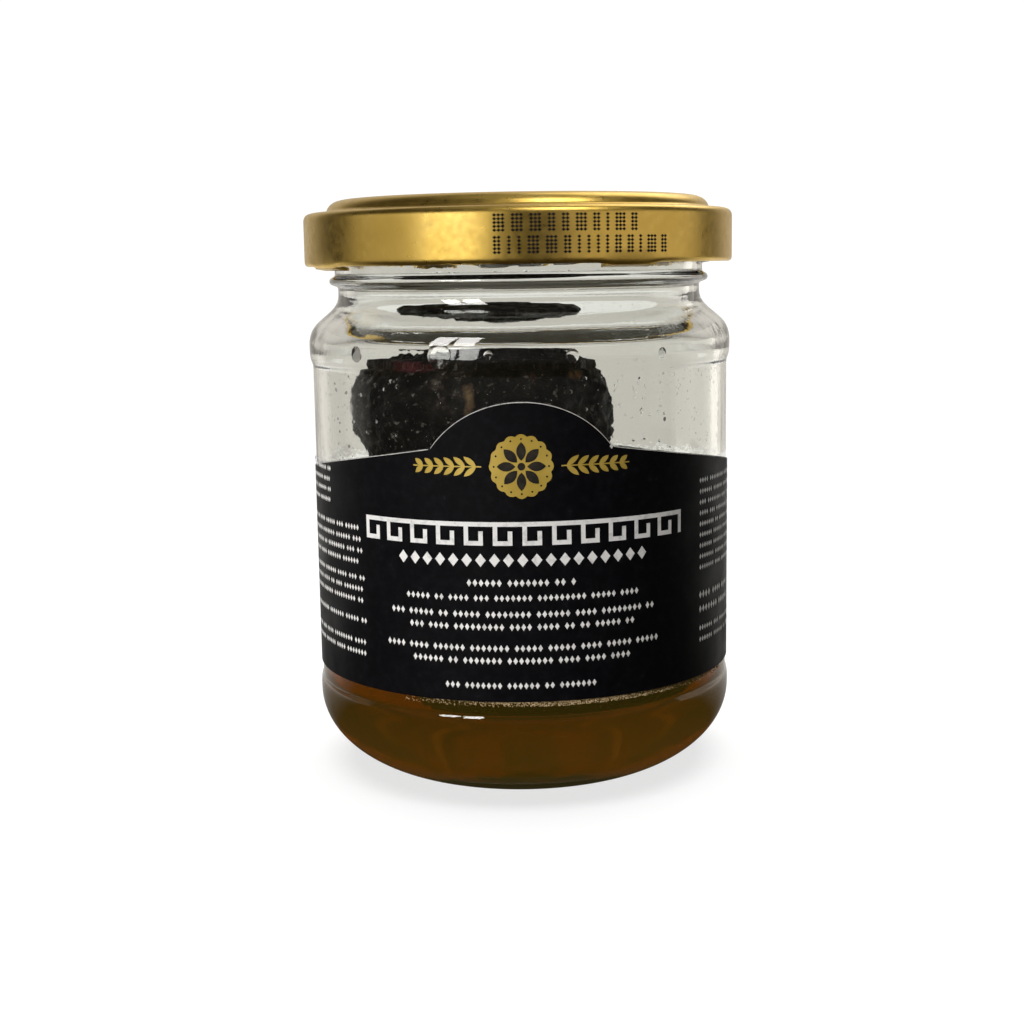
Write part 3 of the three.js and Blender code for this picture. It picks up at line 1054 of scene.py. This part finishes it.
def make_sediment():
    """Fine truffle dust, caught on the inside of the wall just below the label."""
    dice = random.Random(8)
    sheet = bmesh.new()
    for _ in range(1800):
        angle = dice.triangular(-34, 74, 20)
        z = 17.95 - 0.8 * dice.random() ** 2
        size = dice.uniform(0.04, 0.11) * MM
        made = bmesh.ops.create_icosphere(sheet, subdivisions=1, radius=size)
        place = Matrix.Translation(at(angle, PANEL_R + 0.03, z))
        bmesh.ops.transform(sheet, matrix=place, verts=made["verts"])
    mesh = bpy.data.meshes.new("sediment")
    sheet.to_mesh(mesh)
    sheet.free()
    add_object("sediment", mesh, SEDIMENT, "jar")


# ---- stage, lights and camera ----
EYE = Vector((0, -277.5, 86.0)) * MM
PITCH = -8.9  # degrees
ROLL = -0.87
FIELD_LENS = 55.9  # mm on a 36 mm sensor
FRAME_SHIFT = -0.0098


def make_camera():
    data = bpy.data.cameras.new("camera")
    data.sensor_width = 36
    data.lens = FIELD_LENS
    data.shift_x = FRAME_SHIFT
    data.clip_start = 0.005
    camera = bpy.data.objects.new("camera", data)
    turn = Matrix.Rotation(math.radians(90 + PITCH), 4, "X") @ Matrix.Rotation(math.radians(ROLL), 4, "Z")
    camera.matrix_world = Matrix.Translation(EYE) @ turn
    bpy.context.scene.collection.objects.link(camera)
    bpy.context.scene.camera = camera


def make_floor():
    data = bmesh.new()
    bmesh.ops.create_circle(data, cap_ends=True, segments=96, radius=0.46)
    mesh = bpy.data.meshes.new("floor")
    data.to_mesh(mesh)
    data.free()
    floor = bpy.data.objects.new("floor", mesh)
    mesh.materials.append(floor_material())
    bpy.context.scene.collection.objects.link(floor)
    floor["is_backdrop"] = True


def add_area(name, place, size, power, colour=(1, 1, 1), aim=(0, 0, 0.05)):
    data = bpy.data.lights.new(name, "AREA")
    data.shape = "RECTANGLE"
    data.size, data.size_y = size
    data.energy = power
    data.color = colour
    light = bpy.data.objects.new(name, data)
    way = Vector(aim) - Vector(place)
    light.matrix_world = Matrix.Translation(place) @ way.to_track_quat("-Z", "Y").to_matrix().to_4x4()
    bpy.context.scene.collection.objects.link(light)
    return light


def light_only(light, pieces):
    """The light falls on these pieces and on nothing else."""
    group = bpy.data.collections.new(light.name + "_falls_on")
    for piece in pieces:
        group.objects.link(piece)
    light.light_linking.receiver_collection = group


# soft boxes that light the lid alone: name, place and size in metres, power in watts, colour
LID_BOXES = (
    ("lid_left_box", at(-33, 900, 200), (0.56, 0.5), 1.9, (1, 0.97, 0.90)),
    ("lid_side_box", at(-74, 900, 200), (0.66, 0.5), 0.55, (1, 0.95, 0.86)),
    ("lid_top_box", (0.36, 0.52, 0.8), (0.5, 0.7), 2.0, (1, 0.97, 0.9)),
    ("lid_high_box", at(28, 560, 740), (0.4, 0.4), 2.4, (1, 0.97, 0.9)),
    ("lid_right_box", at(66, 900, 140), (1.6, 0.5), 1.6, (1, 0.93, 0.84)),
)


def make_lights():
    """A two-pane window at the left, a soft ceiling, and soft boxes for the glass and for the lid."""
    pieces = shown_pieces()
    lid_pieces = [piece for piece in pieces if body_of(piece) in ("lid", ["lid"])]
    for name, angle in (("window_left_pane", -43), ("window_right_pane", -29)):
        pane = add_area(name, at(angle, 720, 480), (0.15, 0.42), 3.6, (1, 0.98, 0.95))
        light_only(pane, [piece for piece in pieces if piece not in lid_pieces])
    front = add_area("front_wall", at(0, 1600, 250), (2.6, 1.5), 1.0, (1.0, 0.95, 0.88))
    front.visible_glossy = False
    front.visible_diffuse = False
    overhead = add_area("overhead", (0.0, 0.1, 0.9), (1.1, 1.0), 15, (1, 1, 1))
    overhead.visible_glossy = False
    overhead.visible_transmission = False
    glass_pieces = [piece for piece in pieces if piece.name == "glass_jar_fine"]
    for name, angle, power in (("left_wall", -118, 0.4), ("right_wall", 118, 1.0)):
        light_only(add_area(name, at(angle, 900, 80), (0.9, 0.6), power, (1, 0.95, 0.86)), glass_pieces)
    for name, place, size, power, colour in LID_BOXES:
        light_only(add_area(name, place, size, power, colour), lid_pieces)


# patches of light in the room round the stage: angle, height, half-angle of full light and fall-off
# in degrees, then colour and strength
ROOM_BASE = (0.045, 0.041, 0.036)
ROOM_LIGHTS = (
    (180, 5, 28, 34, (1.0, 0.95, 0.86), 0.60),
    (0, 90, 10, 20, (1.0, 0.99, 0.97), 0.25),
)


def make_world():
    """A room with soft patches of light, seen in the lid and through the glass, and white to the camera."""
    world = bpy.data.worlds.new("studio")
    bpy.context.scene.world = world
    world.use_nodes = True
    nodes, links = world.node_tree.nodes, world.node_tree.links
    nodes.clear()
    coords = nodes.new("ShaderNodeTexCoord")
    base = nodes.new("ShaderNodeBackground")
    base.inputs["Color"].default_value = (*ROOM_BASE, 1)
    room = base.outputs["Background"]
    for angle, height, reach, fall_off, colour, strength in ROOM_LIGHTS:
        facing = nodes.new("ShaderNodeVectorMath")
        facing.operation = "DOT_PRODUCT"
        up = math.radians(height)
        facing.inputs[1].default_value = at(angle, math.cos(up), math.sin(up)) / MM
        links.new(coords.outputs["Generated"], facing.inputs[0])
        patch = nodes.new("ShaderNodeBackground")
        patch.inputs["Color"].default_value = (*colour, 1)
        edge, full = math.cos(math.radians(reach + fall_off)), math.cos(math.radians(reach))
        amount = add_range(nodes, links, facing.outputs["Value"], 0, strength, edge, full)
        amount.node.interpolation_type = "SMOOTHSTEP"
        links.new(amount, patch.inputs["Strength"])
        both = nodes.new("ShaderNodeAddShader")
        links.new(room, both.inputs[0])
        links.new(patch.outputs["Background"], both.inputs[1])
        room = both.outputs["Shader"]
    white = nodes.new("ShaderNodeBackground")
    white.inputs["Color"].default_value = (1, 1, 1, 1)
    white.inputs["Strength"].default_value = 1.05
    path = nodes.new("ShaderNodeLightPath")
    mix = nodes.new("ShaderNodeMixShader")
    output = nodes.new("ShaderNodeOutputWorld")
    links.new(path.outputs["Is Camera Ray"], mix.inputs["Fac"])
    links.new(room, mix.inputs[1])
    links.new(white.outputs["Background"], mix.inputs[2])
    links.new(mix.outputs["Shader"], output.inputs["Surface"])


GLASS = glass_material()
MISTED = misted_glass_material()
WATER = water_material()
JUICE = juice_material()
TRUFFLE = truffle_material()
GOLD = gold_material()
LACQUER = plain_material("pale_lacquer")
SEAL = plain_material("seal_compound")
BLACK_PAPER = black_paper_material()
PAPER_CORE = plain_material("paper_core")
WHITE_INK = plain_material("white_ink")
GOLD_INK = gold_ink_material()
BLACK_INK = black_ink_material()
SEDIMENT = plain_material("sediment")

bpy.context.scene.view_settings.view_transform = "Standard"
make_camera()
make_floor()
make_world()
make_glass()
make_lid()
make_seal()
make_label()
make_prints()
make_lid_marks()
noise.seed_set(WART_SEED)
for truffle_name, truffle_form in TRUFFLES.items():
    make_truffle(truffle_name, *truffle_form)
make_juice()
make_drops()
make_sediment()
make_lights()
